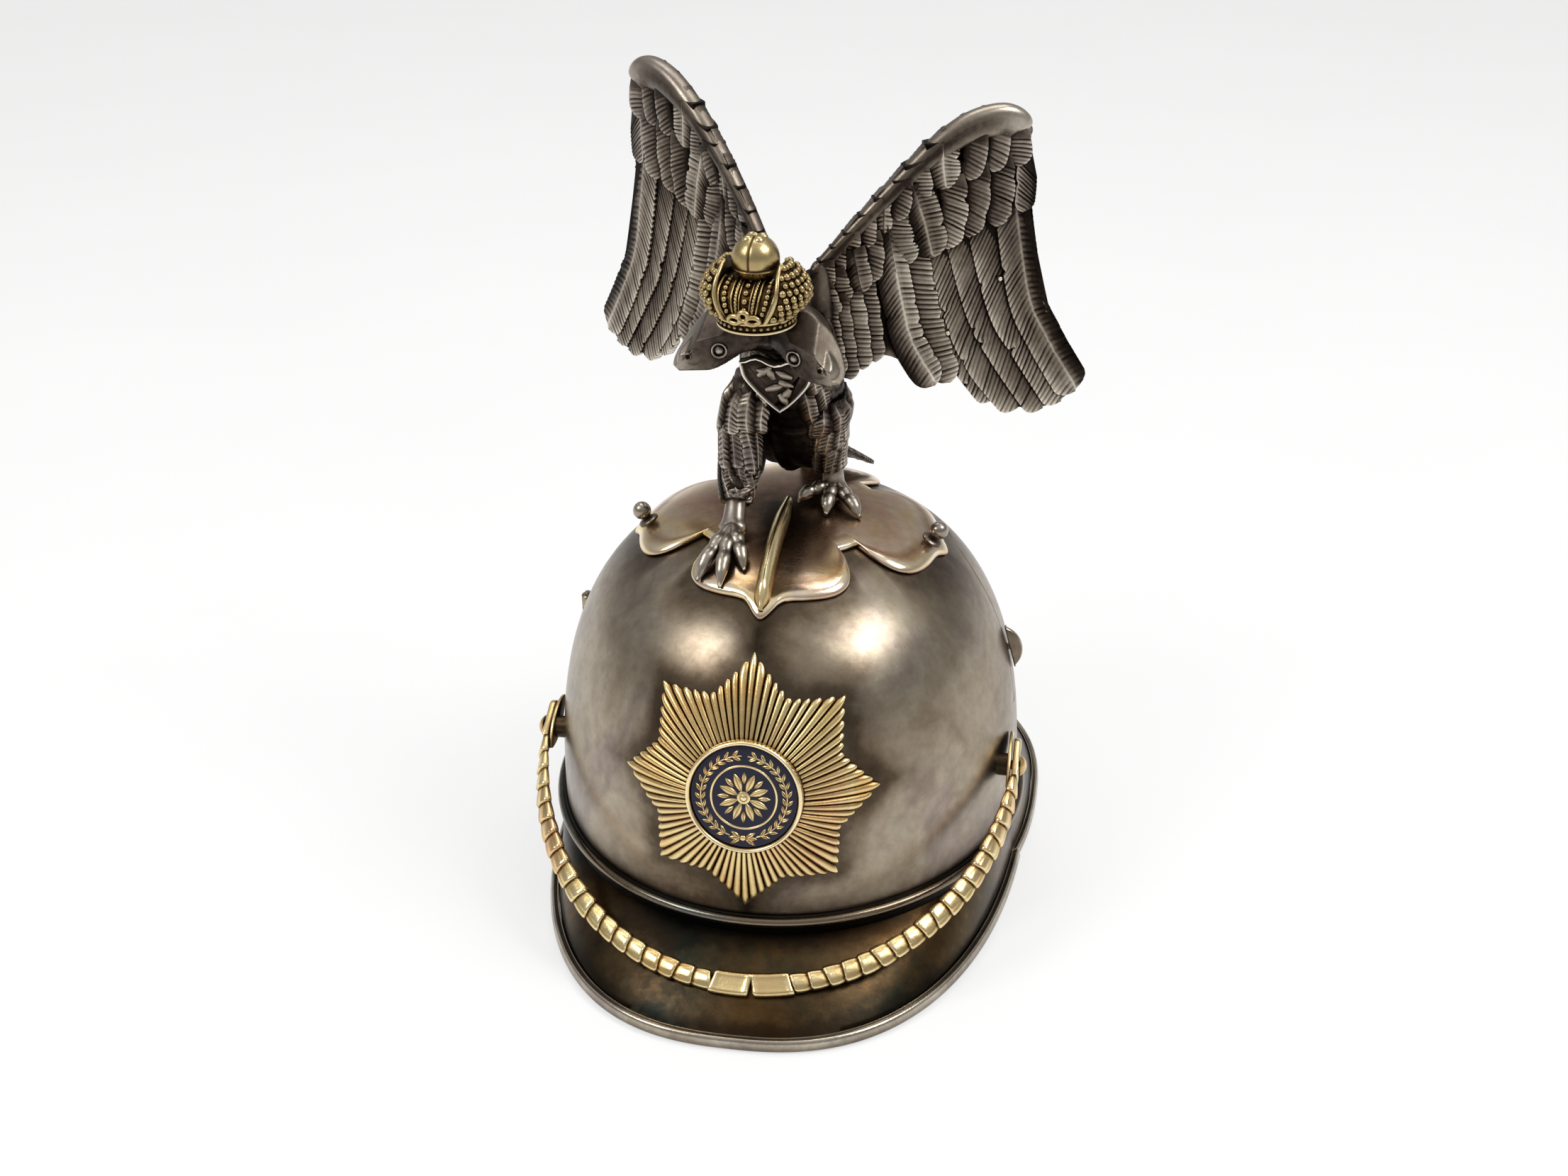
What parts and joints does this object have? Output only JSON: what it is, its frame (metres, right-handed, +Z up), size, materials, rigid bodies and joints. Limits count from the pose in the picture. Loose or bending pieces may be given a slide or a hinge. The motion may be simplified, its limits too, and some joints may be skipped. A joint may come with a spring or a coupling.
{
  "type": "cavalry parade helmet miniature",
  "caption": "Desk miniature of a heavy cavalry parade helmet with a two-headed crowned eagle crest, a rayed star badge, a hinged rear door and a scaled chin chain.",
  "frame": {"origin": "on the table, under the middle of the skull", "axes": "+Z up, the visor points along -Y, +X to the right of someone who looks at the front"},
  "size_m": [0.089, 0.1212, 0.1348],
  "materials": {
    "silver": "aged silver, worn bright on the high places and grey-brown with tarnish in the low ones",
    "oxidised_silver": "oxidised cast silver, dark in the cuts and rubbed bright on the edges",
    "dark_patina": "silver under a dark brown and blue-black patina",
    "gilt": "silver gilt, half polished, with worn and warm places",
    "enamel": "deep blue glossy enamel"
  },
  "bodies": {
    "helmet": {"skull": "silver", "base_band": "silver", "base_plate": "gilt", "visor": "dark_patina", "visor_trim": "silver", "neck_guard": "dark_patina", "neck_guard_trim": "silver", "hinge_pin": "silver", "star_badge": "gilt", "medallion_cup": "gilt", "enamel_disc": "enamel", "medallion_motif": "gilt", "star_pins": "silver", "star_nuts": "silver", "crest_plate": "gilt", "crest_keel": "gilt", "ball_studs": "silver", "ball_stud_nuts": "silver", "eagle_body": "oxidised_silver", "eagle_tail": "oxidised_silver", "wing_left": "oxidised_silver", "wing_right": "oxidised_silver", "breast_shield": "oxidised_silver", "crown_band": "gilt", "crown_cap": "gilt", "crown_mitres": "gilt", "crown_orb": "gilt", "foot_studs": "oxidised_silver", "foot_nuts": "silver", "boss_bushes": "gilt", "boss_plates": "gilt", "chin_rivets": "gilt"},
    "rear_door": {"rear_door": "silver", "thumb_piece": "silver"},
    "chin_chain": {"chin_link_left": "gilt", "chin_link_right": "gilt", "chin_scales_left": "gilt", "chin_scales_right": "gilt", "chin_clasp_left": "gilt", "chin_clasp_right": "gilt"}
  },
  "joints": [
    {"name": "door_hinge", "type": "hinge", "parent": "helmet", "child": "rear_door", "pos_m": [-0.0384, 0.00821, 0.0373], "axis": [0, 0, 1], "range_deg": [0, 110]},
    {"name": "chain_pivot", "type": "hinge", "parent": "helmet", "child": "chin_chain", "pos_m": [0, -0.0132, 0.0263], "axis": [-1, 0, 0], "range_deg": [0, 75]}
  ]
}
